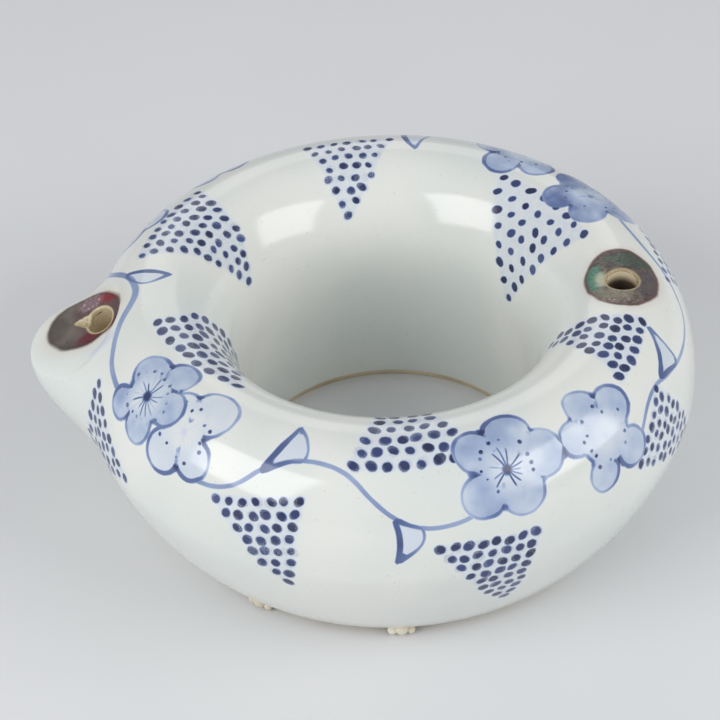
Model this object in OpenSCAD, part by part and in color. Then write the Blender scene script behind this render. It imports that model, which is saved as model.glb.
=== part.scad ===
// Ring-shaped porcelain water dropper for calligraphy: a hollow ring with a beak
// spout on one side and an air vent on the crest opposite. Origin: centre of the
// ring on the table, +Z up, spout along -X. Millimetres.

/* [Ring outside] */
// Outer diameter of the ring, over the glaze
ring_d = 110; // [104:1:124]
// Height of the ring, over the glaze
ring_h = 46; // [42:1:52]
// How far the crest lies inside the ring's outer edge
crest_in = 13.7; // [12:0.1:16]
// Diameter of the centre hole at its waist, inside the glaze
hole_d = 54; // [48:1:56]
// Height of the widest line above the table
belly_z = 26.5; // [22:0.5:30]
// Height of the hole's waist above the table
waist_z = 24; // [18:0.5:28]
// How far the flat foot's inner edge lies outside the hole's waist
heel_out = 1.5; // [1:0.25:3]
// How far the flat foot's outer edge lies inside the ring's outer edge
toe_in = 16.5; // [14.5:0.25:18.5]
// Fullness of the outer shoulder: 2 is an ellipse, 1 a straight cone
shoulder_n = 2.12; // [1.8:0.02:2.5]
// Fullness of the inner lip
lip_n = 2.25; // [1.8:0.05:2.6]
// Fullness of the curve under the belly
belly_n = 1.4; // [1.3:0.05:1.8]
// Fullness of the corner between the hole and the foot
heel_n = 2.6; // [2:0.1:3.5]

/* [Clay wall] */
// Wall thickness of the hollow ring
wall_t = 4; // [3:0.25:5]
// Thickness of the floor over the foot
floor_t = 4.5; // [3.5:0.25:6]
// Radius of the corner inside, between the floor and the wall of the hole
cavity_corner = 4; // [3:0.5:5]
// How far inside the foot's outer edge the flat floor ends
toe_inset = 1.5; // [0.5:0.25:2.5]

/* [Luted seams] */
// Thickness of the slip layer between the two halves
seam_t = 0.8; // [0.4:0.1:1.2]
// Radius of the bead of slip squeezed out inside the ring
bead_r = 1.1; // [0.8:0.1:1.5]
// Height of the slip fillet round the spout's root, along the spout
fillet_h = 2.4; // [1.6:0.2:3]
// Width of the slip fillet round the spout's root, along the ring
fillet_w = 2.4; // [1.6:0.2:3]

/* [Glaze] */
// Thickness of the glaze
glaze_t = 0.4; // [0.3:0.05:0.6]
// Height of bare clay left above the table
bare_h = 1.5; // [1:0.25:3]

/* [Vent] */
// Diameter of the air vent
vent_d = 5.5; // [4.5:0.25:6.5]
// Turn of the vent round the ring, from the line through the spout
vent_turn = -4; // [-12:1:12]
// Width of the copper band round the vent, along the ring's radius
band_w = 13.3; // [11:0.1:15]
// Length of the copper band round the vent, along the ring
band_l = 16.2; // [13:0.1:18]
// Shift of the copper band round the ring, from the vent's middle
band_shift = 0.8; // [-1:0.1:1.5]
// Bare clay lip left between the vent and the copper band
vent_lip = 0.25; // [0.15:0.05:0.5]

/* [Spout] */
// Reach of the spout's tip past the ring's outer edge
spout_out = 8.4; // [6:0.1:11]
// Drop of the spout's tip below the crest
tip_drop = 9.5; // [8:0.1:12]
// Length of the spout's rounded body from its widest place to the tip
spout_l = 25.5; // [24:0.5:28]
// Width of the spout's rounded body at its widest place
spout_w = 27; // [24:0.5:29]
// Rise of the spout's axis above level
spout_rise = 29.5; // [26:0.5:33]
// Fall of the flat facet on top of the spout, outwards
facet_fall = 27.5; // [25:0.5:31]
// Sideways lean of the facet
facet_lean = 13; // [0:1:16]
// Distance of the facet's middle back from the spout's tip
facet_back = 11.4; // [10.4:0.2:12.4]
// Drop of the facet's middle below the crest
facet_drop = 5.3; // [4.5:0.1:6]
// Diameter of the round cut that leaves the facet
facet_d = 19.4; // [18.6:0.2:20.4]
// Reach of that cut towards the ring, from the facet's middle
facet_in = 6.5; // [6:0.1:7]
// Diameter of the pouring hole
pour_d = 5; // [4:0.25:6]
// Length of the pouring hole, from the facet into the water space
pour_l = 13; // [12:0.5:15]
// Place of the pouring hole on the facet, from its middle towards the ring
pour_in = 1; // [0:0.25:2]
// Place of the pouring hole on the facet, sideways
pour_side = -1.6; // [-2:0.1:0]
// Length of the copper patch on the facet
patch_l = 15.4; // [13:0.2:16]
// Width of the copper patch on the facet
patch_w = 10.6; // [8:0.2:11.4]
// Glaze left between the copper patch and the ring's end of the facet
patch_in = 0.8; // [0.6:0.1:1.4]
// Bare clay rim left between the pouring hole and the copper patch
pour_lip = 0.3; // [0.15:0.05:0.6]

/* [Kiln grit] */
// Diameter of the largest grain in each cluster
grit_d = 2.6; // [1.8:0.1:3.2]
// How far the grit stands clear of the table
grit_z = 0.3; // [0.2:0.1:0.6]
// How far the largest grain's middle stands out of the glaze
grit_out = 0.6; // [0.4:0.1:0.8]

/* [Hidden] */

// Points in each quarter of the ring's section and of the spout's profile
arc_steps = 12;
$fn = 64;

// Reach of a cutting solid past what it cuts
past = 5;

// Clay sizes, under the glaze
clay_r = ring_d / 2 - glaze_t;
clay_top = ring_h - glaze_t;
clay_in_r = hole_d / 2 + glaze_t;
crest_r = ring_d / 2 - crest_in;
heel_r = hole_d / 2 + heel_out;
toe_r = ring_d / 2 - toe_in;

// The spout's tip and the facet's middle, over the glaze
spout_reach = ring_d / 2 + spout_out;
tip_z = ring_h - tip_drop;
facet_x = spout_reach - facet_back;
facet_z = ring_h - facet_drop;

// The slip seam lies at the widest line
seam_low = belly_z - seam_t / 2;
seam_high = belly_z + seam_t / 2;

// The fillet's steps: shares of its height and of its width
fillet_steps = [[0.35, 1], [1, 0.35]];

// Where the grit clusters cling to the foot's edge, round the ring
grit_angles = [-126, -90, 28, 118];
// Grains of one cluster: place beside the largest, and size against it
grit_grains = [[0, 1], [-1, 0.7], [1, 0.6]];
grit_step = 2.2;
grit_r = under_r(grit_z + grit_d / 2) + grit_out;

clay_colour = [0.82, 0.77, 0.66];
slip_colour = [0.76, 0.71, 0.60];
glaze_colour = [0.87, 0.90, 0.87];
copper_colour = [0.36, 0.27, 0.24];
grit_colour = [0.88, 0.84, 0.74];

function signed_power(v, p) = sign(v) * pow(abs(v), p);

// Radius of the glazed underside below the belly, at height z
function under_r(z) =
    let (rise = pow((belly_z - z) / belly_z, belly_n / 2))
    toe_r + (ring_d / 2 - toe_r) * pow(1 - rise * rise, 1 / belly_n);

// A quarter of a superellipse about [cx, cz], from angle a, half sizes sx and sz
function quarter(cx, cz, sx, sz, n, a) =
    [for (i = [0:arc_steps - 1])
        let (t = a + 90 * i / arc_steps)
        [cx + sx * signed_power(cos(t), 2 / n), cz + sz * signed_power(sin(t), 2 / n)]];

// The ring's section: outer radius, top, hole radius, base, and the flat of the base
function section(out, top, inn, base, heel, toe) = concat(
    quarter(crest_r, belly_z, out - crest_r, top - belly_z, shoulder_n, 0),
    quarter(crest_r, waist_z, crest_r - inn, top - waist_z, lip_n, 90),
    quarter(heel, waist_z, heel - inn, waist_z - base, heel_n, 180),
    [[heel, base]],
    quarter(toe, belly_z, out - toe, belly_z - base, belly_n, 270));

// The ring as one solid, grown by g over the clay
module ring_solid(g = 0) {
    rotate_extrude($fn = 96)
        polygon(section(clay_r + g, clay_top + g, clay_in_r - g, -g, heel_r, toe_r));
}

// The hollow that holds the water
module cavity() {
    inn = clay_in_r + wall_t;
    rotate_extrude($fn = 96)
        polygon(section(clay_r - wall_t, clay_top - wall_t, inn, floor_t,
                        inn + cavity_corner, toe_r - toe_inset));
}

// Everything between two heights
module slab(low, high) {
    translate([0, 0, low]) cylinder(r = ring_d, h = high - low);
}

// The spout's rounded body, grown by g over the clay: half an ellipsoid on its axis
module spout_solid(g = 0) {
    len = spout_l - glaze_t + g;
    rad = spout_w / 2 - glaze_t + g;
    dome = [for (i = [0:2 * arc_steps])
               let (t = 90 * i / (2 * arc_steps))
               [rad * cos(t), len * sin(t)]];
    translate([-spout_reach, 0, tip_z])
        rotate([0, spout_rise - 90, 0])
            translate([0, 0, -spout_l])
                rotate_extrude()
                    polygon(concat([[0, 0]], dome));
}

// The frame of the facet: +Z out of it, +X towards the ring, g above the clay
module on_facet(g = 0) {
    translate([-facet_x, 0, facet_z])
        rotate([facet_lean, -facet_fall, 0])
            translate([0, 0, g - glaze_t])
                children();
}

// The round cut above the facet
module facet_cut(g = 0) {
    on_facet(g)
        translate([facet_in - facet_d / 2, 0, 0])
            cylinder(r = facet_d / 2 - g, h = 2 * past);
}

// The fillet of slip in the corner between spout and ring, in two steps
module fillet_solid(g = 0) {
    for (step = fillet_steps)
        intersection() {
            ring_solid(fillet_h * step[0] + g);
            spout_solid(fillet_w * step[1] + g);
        }
}

// Ring, spout and fillet as one solid, with the facet cut, grown by g over the clay
module whole_solid(g = 0) {
    difference() {
        union() {
            ring_solid(g);
            spout_solid(g);
            fillet_solid(g);
        }
        facet_cut(g);
    }
}

// A bore along the vent's axis, from the water space up through the crest
module vent_bore(d) {
    rotate([0, 0, vent_turn])
        translate([crest_r, 0, clay_top - wall_t - past])
            cylinder(d = d, h = wall_t + 2 * past);
}

// A bore square to the facet, from the facet into the water space
module pour_bore(d) {
    on_facet()
        translate([pour_in, pour_side, -pour_l])
            cylinder(d = d, h = pour_l + past);
}

// An upright oval prism
module oval(l, w, h) {
    linear_extrude(h)
        polygon([for (a = [0:360 / (4 * arc_steps):359]) [l / 2 * cos(a), w / 2 * sin(a)]]);
}

// Where the copper band lies round the vent
module vent_oval() {
    rotate([0, 0, vent_turn])
        translate([crest_r, band_shift, clay_top - past])
            oval(band_w, band_l, 2 * past);
}

// Where the copper patch lies on the facet
module facet_oval() {
    on_facet()
        translate([facet_in - patch_in - patch_l / 2, 0, -glaze_t])
            oval(patch_l, patch_w, past);
}

// The wall of the hollow ring between two heights, with its holes pierced
module ring_wall(low, high) {
    difference() {
        intersection() {
            ring_solid();
            slab(low, high);
        }
        cavity();
        facet_cut();
        vent_bore(vent_d);
        pour_bore(pour_d);
    }
}

module lower_half() {
    color(clay_colour) ring_wall(-past, seam_low);
}

module upper_half() {
    color(clay_colour) ring_wall(seam_high, ring_h + past);
}

// The layer of slip between two radii
module slip_layer(near, far) {
    intersection() {
        ring_solid();
        slab(seam_low, seam_high);
        difference() {
            cylinder(r = far, h = ring_h);
            cylinder(r = near, h = ring_h);
        }
    }
}

// The bead of slip round the hollow, at one radius
module slip_bead(at) {
    translate([0, 0, belly_z])
        rotate_extrude() translate([at, 0]) circle(r = bead_r);
}

// One ring of slip in the seam, with its bead inside the hollow
module seam_slip(near, far, bead_at) {
    color(slip_colour) {
        difference() {
            slip_layer(near, far);
            cavity();
        }
        intersection() {
            slip_bead(bead_at);
            union() {
                cavity();
                slip_layer(near, far);
            }
        }
    }
}

module outer_seam_slip() {
    seam_slip(crest_r, clay_r + past, clay_r - wall_t);
}

module inner_seam_slip() {
    seam_slip(0, crest_r, clay_in_r + wall_t);
}

module spout() {
    color(clay_colour)
        difference() {
            spout_solid();
            ring_solid();
            facet_cut();
            pour_bore(pour_d);
        }
}

module spout_root_slip() {
    color(slip_colour)
        difference() {
            fillet_solid();
            ring_solid();
            spout_solid();
            facet_cut();
        }
}

// The glaze: a thin skin over everything but the foot, the mouths and the copper
module glaze_coat() {
    color(glaze_colour)
        difference() {
            whole_solid(glaze_t);
            whole_solid();
            slab(-past, bare_h);
            vent_oval();
            facet_oval();
        }
}

module vent_copper_band() {
    color(copper_colour)
        difference() {
            intersection() {
                ring_solid(glaze_t);
                vent_oval();
            }
            ring_solid();
            vent_bore(vent_d + 2 * vent_lip);
        }
}

module spout_copper_patch() {
    color(copper_colour)
        difference() {
            intersection() {
                whole_solid(glaze_t);
                facet_oval();
            }
            whole_solid();
            pour_bore(pour_d + 2 * pour_lip);
        }
}

// One cluster of kiln grit, fused to the edge of the foot
module grit_cluster() {
    for (grain = grit_grains)
        let (d = grit_d * grain[1])
        rotate([0, 0, grain[0] * grit_step])
            translate([grit_r, 0, grit_z + d / 2])
                sphere(d = d);
}

module kiln_grit() {
    color(grit_colour)
        difference() {
            for (a = grit_angles) rotate([0, 0, a]) grit_cluster();
            ring_solid(glaze_t);
        }
}

lower_half();
upper_half();
outer_seam_slip();
inner_seam_slip();
spout();
spout_root_slip();
glaze_coat();
vent_copper_band();
spout_copper_patch();
kiln_grit();
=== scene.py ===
# %% [markdown]
# A ring-shaped porcelain water dropper. The clay parts are solid models made elsewhere, and
# they arrive here as a fixed frame. This lesson dresses them: the glaze with its brush
# painting, the copper pigment round the two holes, the bare foot and the kiln grit.

# %% The frame
import math
import bpy
import numpy as np
from mathutils import Matrix, Vector


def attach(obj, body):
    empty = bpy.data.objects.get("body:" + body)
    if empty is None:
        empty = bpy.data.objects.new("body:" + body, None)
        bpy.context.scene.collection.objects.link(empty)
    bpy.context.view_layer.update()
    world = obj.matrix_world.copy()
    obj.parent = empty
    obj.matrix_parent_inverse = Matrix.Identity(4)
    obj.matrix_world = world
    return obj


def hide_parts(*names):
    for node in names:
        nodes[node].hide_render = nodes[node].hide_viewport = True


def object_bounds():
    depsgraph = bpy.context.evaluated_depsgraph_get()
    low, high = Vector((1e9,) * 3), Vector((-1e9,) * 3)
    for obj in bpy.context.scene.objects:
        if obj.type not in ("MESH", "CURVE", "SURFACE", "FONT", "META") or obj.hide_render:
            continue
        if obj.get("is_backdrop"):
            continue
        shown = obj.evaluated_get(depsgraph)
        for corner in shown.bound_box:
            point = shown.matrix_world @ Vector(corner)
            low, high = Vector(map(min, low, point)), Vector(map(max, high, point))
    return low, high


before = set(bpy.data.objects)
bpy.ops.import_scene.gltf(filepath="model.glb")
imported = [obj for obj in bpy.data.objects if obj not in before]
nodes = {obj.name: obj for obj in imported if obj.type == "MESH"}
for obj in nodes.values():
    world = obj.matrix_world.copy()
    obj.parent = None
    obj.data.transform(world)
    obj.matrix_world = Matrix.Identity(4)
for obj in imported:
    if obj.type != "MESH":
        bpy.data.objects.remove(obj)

solid_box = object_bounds()
MM = 0.001
print("clay pieces:", ", ".join(sorted(nodes)))

# %% [markdown]
# The camera stands where the photographer stood: looking down at about 40 degrees, with the
# spout to the left. A long lens keeps the ring's far side nearly as wide as its near side.
# The ring isn't quite in the middle of the picture, so the camera turns a little off it, by
# as many of the picture's points as the ring's middle lies to the right and up.

# %% Camera
PICTURE_SIDE = 720
LENS, SENSOR = 110, 36
OBJECT_RIGHT, OBJECT_UP = 28.76, 19.65
LOOK_HEIGHT, LOOK_AWAY = 22.87, 402.2
LOOK_TURN = math.radians(-1.4)

def turned_back(v):
    return Matrix.Rotation(LOOK_TURN, 3, "Z") @ v

focal = LENS / SENSOR * PICTURE_SIDE
down, roll = 0.7084, -0.0266
yaw = math.atan(OBJECT_RIGHT / focal)
pitch = math.atan(OBJECT_UP / focal)
ahead = Vector((0, math.cos(down), -math.sin(down)))
aside = Vector((1, 0, 0))
above = aside.cross(ahead)
eye = turned_back(Vector((0, 0, LOOK_HEIGHT)) - LOOK_AWAY * ahead) * MM
look = ahead * math.cos(yaw) - aside * math.sin(yaw)
side = aside * math.cos(yaw) + ahead * math.sin(yaw)
forward = look * math.cos(pitch) + above * math.sin(pitch)
upward = above * math.cos(pitch) - look * math.sin(pitch)
right = side * math.cos(roll) + upward * math.sin(roll)
top = upward * math.cos(roll) - side * math.sin(roll)
axes = [turned_back(v) for v in (right, top, -forward)]
bpy.ops.object.camera_add(location=eye)
camera = bpy.context.object
camera.name = "camera"
facing = Matrix([[a[i] for a in axes] for i in range(3)])
camera.matrix_world = Matrix.Translation(eye) @ facing.to_4x4()
camera.data.lens = LENS
camera.data.sensor_width = SENSOR
bpy.context.scene.camera = camera
print("camera", [round(c, 3) for c in eye], "lens", camera.data.lens)

# %% [markdown]
# Blender's operators act on all that is selected, so before each piece is worked on, nothing
# is selected, and then that piece alone is taken up. Two helpers read and write a mesh's
# points as one array, in millimetres, because the glaze is shaped by rules that are easier
# to write for all points at once.

# %% Points of a mesh
def clear_selection():
    if bpy.context.object and bpy.context.object.mode != "OBJECT":
        bpy.ops.object.mode_set(mode="OBJECT")
    bpy.ops.object.select_all(action="DESELECT")

def take_up(piece):
    clear_selection()
    piece.select_set(True)
    bpy.context.view_layer.objects.active = piece

def points_of(piece):
    flat = np.empty(len(piece.data.vertices) * 3)
    piece.data.vertices.foreach_get("co", flat)
    return flat.reshape(-1, 3) / MM

def set_points(piece, points):
    piece.data.vertices.foreach_set("co", (points * MM).ravel())
    piece.data.update()

print("points are read and set in units of", MM, "m")

# %% [markdown]
# The ring's section has no straight line but its foot. Four quarters of superellipses follow
# it: the shoulder, the lip, the corner by the hole, and the belly. Glaze covers all of it
# but the foot, so the section runs from the glaze's edge on the outside, over the crest,
# to its edge inside the hole. Points lie at equal steps, so later the mesh has even faces.

# %% The glaze's section
RING_R, RING_H, CREST_R, HOLE_R = 55.0, 46.0, 41.3, 27.0
BELLY_Z, WAIST_Z, HEEL_R, TOE_R = 26.5, 24.0, 28.5, 38.5
BELLY_FULL, SHOULDER_FULL, LIP_FULL, CORNER_FULL = 1.4, 2.12, 2.25, 2.6
GLAZE_T, BARE_H = 0.4, 1.5

def quarter(centre_r, centre_z, half_r, half_z, fullness, start):
    t = np.radians(start) + np.linspace(0, math.pi / 2, 200)
    bent = lambda v: np.sign(v) * np.abs(v) ** (2 / fullness)
    return np.stack([centre_r + half_r * bent(np.cos(t)), centre_z + half_z * bent(np.sin(t))], 1)

belly = quarter(TOE_R, BELLY_Z, RING_R - TOE_R, BELLY_Z + GLAZE_T, BELLY_FULL, 270)
shoulder = quarter(CREST_R, BELLY_Z, RING_R - CREST_R, RING_H - BELLY_Z, SHOULDER_FULL, 0)
lip = quarter(CREST_R, WAIST_Z, CREST_R - HOLE_R, RING_H - WAIST_Z, LIP_FULL, 90)
corner = quarter(HEEL_R, WAIST_Z, HEEL_R - HOLE_R, WAIST_Z + GLAZE_T, CORNER_FULL, 180)
outline = np.concatenate([belly, shoulder[1:], lip[1:], corner[1:]])
outline = outline[outline[:, 1] > BARE_H]
walk = np.concatenate([[0], np.cumsum(np.hypot(*np.diff(outline, axis=0).T))])
crest_at = walk[np.argmax(outline[:, 1])]
STEP = 0.82
count = int(walk[-1] / STEP)
stops = np.linspace(0, walk[-1], count + 1)
section = np.stack([np.interp(stops, walk, outline[:, i]) for i in (0, 1)], 1)
section_arc = crest_at - stops
print("section of", count + 1, "points,", round(walk[-1], 1), "mm long")

# %% [markdown]
# The skin is a circle of points bent to the section and spun round the upright axis, as a
# pot turns on the wheel. The circle's closing edge goes first, since the foot stays open. The
# spin's last step lands on its first, so doubles are merged.

# %% Spinning the skin
TURNS = 440
clear_selection()
bpy.ops.mesh.primitive_circle_add(vertices=count + 1, radius=10 * MM, fill_type="NOTHING")
skin = bpy.context.object
skin.name = "glaze_skin"
set_points(skin, np.stack([section[:, 0], 0 * section[:, 0], section[:, 1]], 1))
closing = [e for e in skin.data.edges if abs(e.vertices[0] - e.vertices[1]) == count][0].index
bpy.ops.object.mode_set(mode="EDIT")
bpy.ops.mesh.select_all(action="DESELECT")
bpy.ops.mesh.select_mode(type="EDGE")
bpy.ops.object.mode_set(mode="OBJECT")
skin.data.edges[closing].select = True
bpy.ops.object.mode_set(mode="EDIT")
bpy.ops.mesh.delete(type="EDGE")
bpy.ops.mesh.select_all(action="SELECT")
bpy.ops.mesh.spin(steps=TURNS, angle=2 * math.pi, center=(0, 0, 0), axis=(0, 0, 1))
bpy.ops.mesh.select_all(action="SELECT")
bpy.ops.mesh.remove_doubles(threshold=0.02 * MM)
bpy.ops.mesh.normals_make_consistent(inside=False)
bpy.ops.object.mode_set(mode="OBJECT")
print("spun skin:", len(skin.data.polygons), "faces")

# %% [markdown]
# The spout and the vent need finer faces than the rest of the ring. Points slide round the
# ring a little, to lie closer together there, and the spout's faces are also cut in four.
# Two measures place a point of the skin from here on: its turn round the ring in degrees,
# and its rise round the hub, the middle of the ring's wall.

# %% Closer points at the spout
HUB_Z = 25.2
START_R = 14
SPOUT_TURN, VENT_TURN = 180, -4
around = np.linspace(0, 360, 3601)
crowd_at_spout = 1.3 * np.exp(-((around - SPOUT_TURN) / 15) ** 2)
crowd_at_vent = 0.5 * np.exp(-((around - (360 + VENT_TURN)) % 360 / 9) ** 2)
room = 1 / (1 + crowd_at_spout + crowd_at_vent)
slid = np.concatenate([[0], np.cumsum(room[1:])])
slid *= 360 / slid[-1]

def ring_place(points):
    turn = np.degrees(np.arctan2(points[:, 1], points[:, 0])) % 360
    rise = np.arctan2(points[:, 2] - HUB_Z, np.hypot(points[:, 0], points[:, 1]) - CREST_R)
    return turn, rise

def select_points(piece, mask):
    bpy.ops.object.mode_set(mode="OBJECT")
    for group in (piece.data.vertices, piece.data.edges, piece.data.polygons):
        group.foreach_set("select", np.zeros(len(group), bool))
    piece.data.vertices.foreach_set("select", mask)
    bpy.ops.object.mode_set(mode="EDIT")
    bpy.ops.mesh.select_mode(type="VERT")

def selected_points(piece):
    bpy.ops.object.mode_set(mode="OBJECT")
    mask = np.empty(len(piece.data.vertices), bool)
    piece.data.vertices.foreach_get("select", mask)
    return mask

turn, rise = ring_place(points_of(skin))
turn = np.interp(turn, around, slid)
start_r, start_turn = CREST_R + START_R * np.cos(rise), np.radians(turn)
start_z = HUB_Z + START_R * np.sin(rise)
set_points(skin, np.stack([start_r * np.cos(start_turn), start_r * np.sin(start_turn), start_z], 1))
take_up(skin)
select_points(skin, (np.abs(turn - SPOUT_TURN) < 17) & (rise > -0.5) & (rise < 1.5))
bpy.ops.mesh.subdivide(number_cuts=1)
bpy.ops.object.mode_set(mode="OBJECT")
turn, rise = ring_place(points_of(skin))
print("finer faces at the spout:", len(skin.data.polygons), "faces")

# %% [markdown]
# The spout is half an egg, set in the ring's side and pointing up and out. Potters blend
# such a join with a wet finger, so ring and spout melt together over a few millimetres. A
# smooth minimum of two distances does the same. A flat facet is then cut on top, with its
# edges rubbed soft, and a short groove runs down it from the pouring hole.

# %% The blended surface
SPOUT_LONG, SPOUT_WIDE = 25.5, 13.5
WET_FINGER = 6.0
spout_rise = math.radians(29.5)
spout_axis = np.array([-math.cos(spout_rise), 0, math.sin(spout_rise)])
spout_tip = np.array([-63.4, 0, 36.5])
spout_root = spout_tip - SPOUT_LONG * spout_axis
FACET_AT = np.array([-52.0, 0, 40.7])
fall, lean = math.radians(-27.5), math.radians(13)
FACET_X = np.array([math.cos(fall), 0, -math.sin(fall)])
FACET_Y = np.array([math.sin(lean) * math.sin(fall), math.cos(lean), math.sin(lean) * math.cos(fall)])
FACET_N = np.cross(FACET_X, FACET_Y)

def melt(a, b, soft):
    h = np.clip(0.5 + 0.5 * (b - a) / soft, 0, 1)
    return b + (a - b) * h - soft * h * (1 - h)

def spout_distance(p):
    q = p - spout_root
    along = q @ spout_axis
    aside_sq = np.maximum((q ** 2).sum(1) - along ** 2, 0)
    k0 = np.sqrt(along ** 2 / SPOUT_LONG ** 2 + aside_sq / SPOUT_WIDE ** 2)
    k1 = np.sqrt(along ** 2 / SPOUT_LONG ** 4 + aside_sq / SPOUT_WIDE ** 4) + 1e-9
    return np.maximum(k0 * (k0 - 1) / k1, -along - 2)

def on_facet(p):
    q = p - FACET_AT
    return q @ FACET_X, q @ FACET_Y, q @ FACET_N

def cut_distance(p):
    x, y, z = on_facet(p)
    by_ring = np.clip((x + 2) / 7, 0, 1)
    by_tip = np.clip((-x - 8) / 3, 0, 1)
    wide = 9.3 + by_ring * (0.6 * np.clip(z, 0, 2.2) - 0.95) + 1.5 * by_tip
    return np.maximum(np.hypot(x + 3.2, y) - wide, -z)

def cut_softness(p):
    return 1.5 - 0.3 * np.clip(on_facet(p)[0] / 5, 0, 1)

GROOVE_START, GROOVE_LONG, GROOVE_DEEP = 0.5, 4.9, 1.5

def groove_depth(p):
    x, y, z = on_facet(p)
    run = np.clip((GROOVE_START - x) / GROOVE_LONG, 0, 1)
    half = 2.0 * (1 - run) ** 0.75 + 0.02
    deep = GROOVE_DEEP * (1 - run) * np.clip(1 - ((y + 1.3 + 0.3 * x) / half) ** 2, 0, 1)
    return np.where((np.abs(z) < 3) & (x < 1.5), deep, 0)

def is_clay(p, body, depth=0.0):
    return -melt(-body, cut_distance(p) - depth, cut_softness(p)) < -groove_depth(p)

print("spout's root at", spout_root.round(1), "mm")

# %% [markdown]
# Each point of the skin now slides along its own ray, out from the hub of the ring's wall,
# until it meets the blended surface. The ray is halved again and again: while its middle is
# still in the clay, the point lies further out, and otherwise further in.

# %% The ring and the spout as one skin
HALVINGS = 28
section_rise = np.arctan2(section[:, 1] - HUB_Z, section[:, 0] - CREST_R)
section_reach = np.hypot(section[:, 1] - HUB_Z, section[:, 0] - CREST_R)
order = np.argsort(section_rise)

def slide_out(start, ray, near, far, inside_at):
    for _ in range(HALVINGS):
        mid = (near + far) / 2
        inside = inside_at(start + ray * mid[:, None], mid)
        near, far = np.where(inside, mid, near), np.where(inside, far, mid)
    return start + ray * near[:, None], near

def reach_to_surface(turn, rise):
    ring_reach = np.interp(rise, section_rise[order], section_reach[order], period=2 * math.pi)
    c, s = np.cos(np.radians(turn)), np.sin(np.radians(turn))
    hub = np.stack([CREST_R * c, CREST_R * s, 0 * c + HUB_Z], 1)
    ray = np.stack([np.cos(rise) * c, np.cos(rise) * s, np.sin(rise)], 1)
    def inside_at(p, mid):
        return is_clay(p, melt(mid - ring_reach, spout_distance(p), WET_FINGER))
    points, reach = slide_out(hub, ray, ring_reach * 0.4, ring_reach + 16, inside_at)
    return points, reach - ring_reach

points, proud = reach_to_surface(turn, rise)
set_points(skin, points)
print("spout stands", round(float(proud.max()), 1), "mm proud of the ring")

# %% [markdown]
# The vent and the pouring hole are pierced through the skin. Faces inside a circle are
# deleted, the edge of the gap is rounded to the hole's circle, and the faces round it are
# evened out. Two more rows of faces then roll over the edge and down into the hole.

# %% Piercing a hole
NEAR_WALL = 6
ROLLED_EDGE = ((0.93, 0.05), (0.89, 0.25), (0.885, 0.6))

def pierce(piece, centre, x_axis, y_axis, axis, wide, tall):
    def place(p):
        q = p - centre
        return q @ x_axis, q @ y_axis, q @ axis
    def drawn_in(p, x, y, size):
        keep = 1 - size / np.hypot(x / wide, y / tall)
        return p - np.outer(x * keep, x_axis) - np.outer(y * keep, y_axis)
    x, y, z = place(points_of(piece))
    select_points(piece, (np.abs(z) < NEAR_WALL) & (np.hypot(x / wide, y / tall) < 1.0))
    bpy.ops.mesh.delete(type="VERT")
    bpy.ops.object.mode_set(mode="OBJECT")
    x, y, z = place(points_of(piece))
    select_points(piece, (np.abs(z) < NEAR_WALL) & (np.hypot(x, y) < max(wide, tall) + 1.6))
    bpy.ops.mesh.select_non_manifold(extend=False, use_wire=False, use_multi_face=False,
                                     use_non_contiguous=False, use_verts=False)
    rim = selected_points(piece)
    p = points_of(piece)
    x, y, z = place(p)
    rim &= (np.abs(z) < NEAR_WALL) & (np.hypot(x, y) < max(wide, tall) + 3)
    p[rim] = drawn_in(p, x, y, 1)[rim]
    p[rim] = reach_to_surface(*ring_place(p[rim]))[0]
    set_points(piece, p)
    near_by = ~rim & (np.abs(z) < NEAR_WALL) & (np.hypot(x / wide, y / tall) < 2.2)
    for _ in range(3):
        select_points(piece, near_by)
        bpy.ops.mesh.vertices_smooth(factor=0.5)
        bpy.ops.object.mode_set(mode="OBJECT")
        p = points_of(piece)
        p[near_by] = reach_to_surface(*ring_place(p[near_by]))[0]
        set_points(piece, p)
    for size, sink in ROLLED_EDGE:
        select_points(piece, rim)
        bpy.ops.mesh.extrude_region_move()
        rim = selected_points(piece)
        p = points_of(piece)
        x, y, z = place(p[rim])
        p[rim] = drawn_in(p[rim], x, y, size) - sink * axis
        set_points(piece, p)
    return int(rim.sum())

vent_turn = math.radians(VENT_TURN)
VENT_AT = np.array([CREST_R * math.cos(vent_turn), CREST_R * math.sin(vent_turn), RING_H])
VENT_X = np.array([math.cos(vent_turn), math.sin(vent_turn), 0])
VENT_Y = np.array([-math.sin(vent_turn), math.cos(vent_turn), 0])
UP = np.array([0, 0, 1.0])
POUR_X, POUR_Y = 1.0, -1.6
POUR_AT = FACET_AT + POUR_X * FACET_X + POUR_Y * FACET_Y
take_up(skin)
print("vent edge:", pierce(skin, VENT_AT, VENT_X, VENT_Y, UP, 3.15, 3.2), "points")
print("pouring hole's edge:", pierce(skin, POUR_AT, FACET_X, FACET_Y, FACET_N, 2.9, 2.9), "points")

# %% [markdown]
# The brush painting is a scroll of plum blossom with patches of dots. Where each blossom,
# leaf, stem and patch sits is worked out here, once, in the ring's own measures: the turn
# round the ring in degrees, and the walk over the section in millimetres from the crest,
# outwards and down. Each point of the skin keeps its distance from the nearest stroke, and
# the shader later draws the stroke from that distance, so an edge can be soft or dry.

# %% Where a point lies in the painting
turn, rise = ring_place(points_of(skin))
arc = np.interp(rise, section_rise[order], section_arc[order], period=2 * math.pi)
arc_r = np.interp(-arc, -section_arc, section[:, 0])

def beside(centre_turn, centre_arc):
    gap = (turn - centre_turn + 180) % 360 - 180
    return np.radians(gap) * arc_r, arc - centre_arc

def keep_vector(name, *parts):
    layer = skin.data.attributes.new(name, "FLOAT_VECTOR", "POINT")
    layer.data.foreach_set("vector", np.stack(parts, 1).ravel())

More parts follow.
